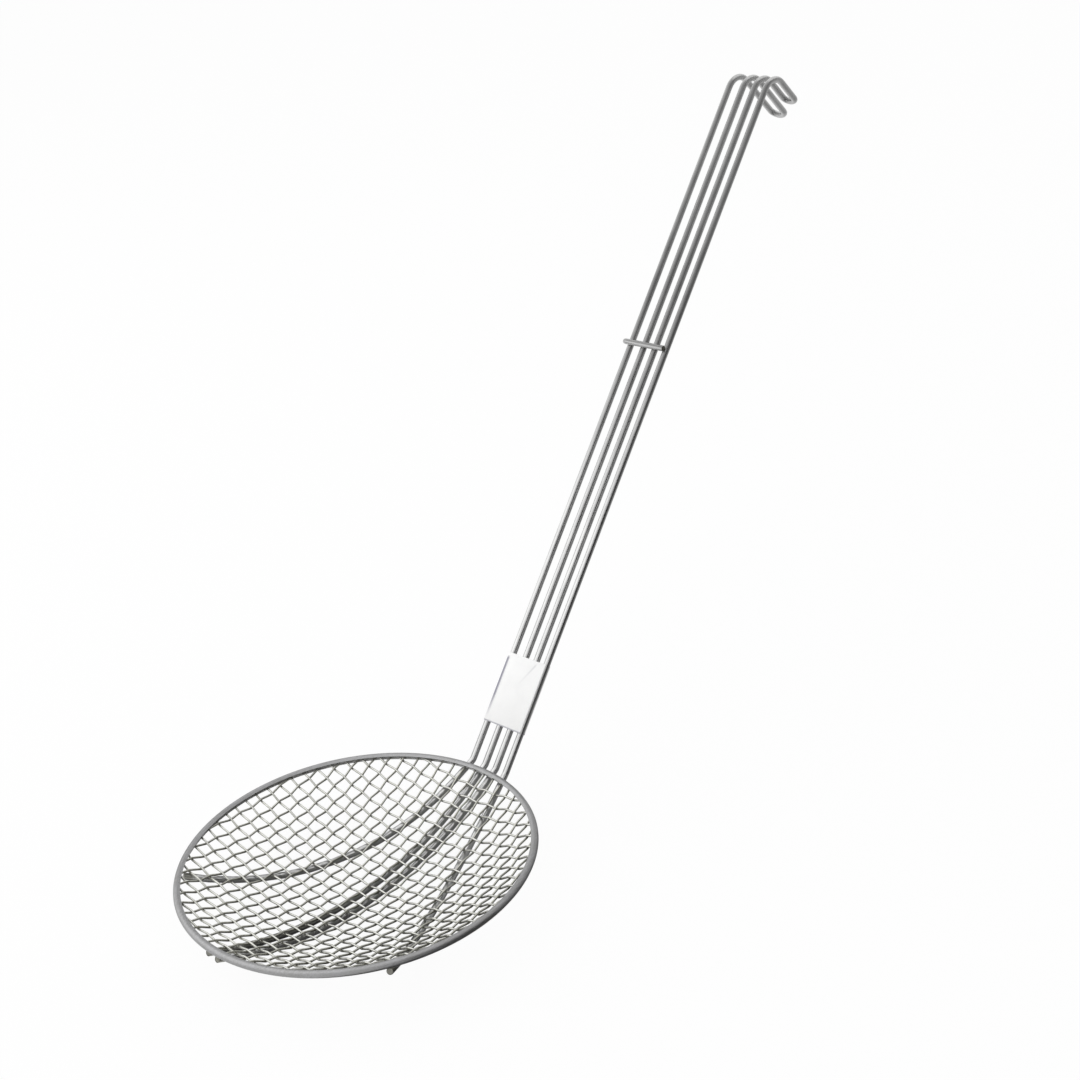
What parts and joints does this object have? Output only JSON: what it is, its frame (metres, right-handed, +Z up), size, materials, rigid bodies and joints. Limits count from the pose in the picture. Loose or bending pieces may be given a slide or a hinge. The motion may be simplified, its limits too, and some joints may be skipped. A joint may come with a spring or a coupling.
{
  "type": "spider skimmer",
  "caption": "Shallow woven-wire skimmer dish in a rolled rim, on a long handle of bent steel wires that run on under the dish as ribs and end in a hanging hook.",
  "frame": {"origin": "centre of the rim, in the level plane of the rim's round edge", "axes": "+Z up out of the dish's mouth, +X from the dish towards the handle, +Y to the left of the person who holds the handle"},
  "size_m": [0.4407, 0.165, 0.3004],
  "materials": {
    "mesh_steel": "plated, satin",
    "rim_steel": "plated, satin",
    "handle_steel": "plated, bright",
    "tie_steel": "plated, bright",
    "band_sheet": "plain white, bare"
  },
  "bodies": {
    "root": {"handle_band": "band_sheet", "handle_tie": "tie_steel", "handle_wire_left": "handle_steel", "handle_wire_right": "handle_steel", "mesh_cross_wire_01": "mesh_steel", "mesh_cross_wire_02": "mesh_steel", "mesh_cross_wire_03": "mesh_steel", "mesh_cross_wire_04": "mesh_steel", "mesh_cross_wire_05": "mesh_steel", "mesh_cross_wire_06": "mesh_steel", "mesh_cross_wire_07": "mesh_steel", "mesh_cross_wire_08": "mesh_steel", "mesh_cross_wire_09": "mesh_steel", "mesh_cross_wire_10": "mesh_steel", "mesh_cross_wire_11": "mesh_steel", "mesh_cross_wire_12": "mesh_steel", "mesh_cross_wire_13": "mesh_steel", "mesh_cross_wire_14": "mesh_steel", "mesh_cross_wire_15": "mesh_steel", "mesh_cross_wire_16": "mesh_steel", "mesh_cross_wire_17": "mesh_steel", "mesh_cross_wire_18": "mesh_steel", "mesh_cross_wire_19": "mesh_steel", "mesh_cross_wire_20": "mesh_steel", "mesh_cross_wire_21": "mesh_steel", "mesh_cross_wire_22": "mesh_steel", "mesh_cross_wire_23": "mesh_steel", "mesh_cross_wire_24": "mesh_steel", "mesh_cross_wire_25": "mesh_steel", "mesh_long_wire_01": "mesh_steel", "mesh_long_wire_02": "mesh_steel", "mesh_long_wire_03": "mesh_steel", "mesh_long_wire_04": "mesh_steel", "mesh_long_wire_05": "mesh_steel", "mesh_long_wire_06": "mesh_steel", "mesh_long_wire_07": "mesh_steel", "mesh_long_wire_08": "mesh_steel", "mesh_long_wire_09": "mesh_steel", "mesh_long_wire_10": "mesh_steel", "mesh_long_wire_11": "mesh_steel", "mesh_long_wire_12": "mesh_steel", "mesh_long_wire_13": "mesh_steel", "mesh_long_wire_14": "mesh_steel", "mesh_long_wire_15": "mesh_steel", "mesh_long_wire_16": "mesh_steel", "mesh_long_wire_17": "mesh_steel", "mesh_long_wire_18": "mesh_steel", "mesh_long_wire_19": "mesh_steel", "mesh_long_wire_20": "mesh_steel", "mesh_long_wire_21": "mesh_steel", "mesh_long_wire_22": "mesh_steel", "mesh_long_wire_23": "mesh_steel", "mesh_long_wire_24": "mesh_steel", "mesh_long_wire_25": "mesh_steel", "mesh_long_wire_26": "mesh_steel", "rim_binding": "rim_steel"}
  },
  "joints": []
}
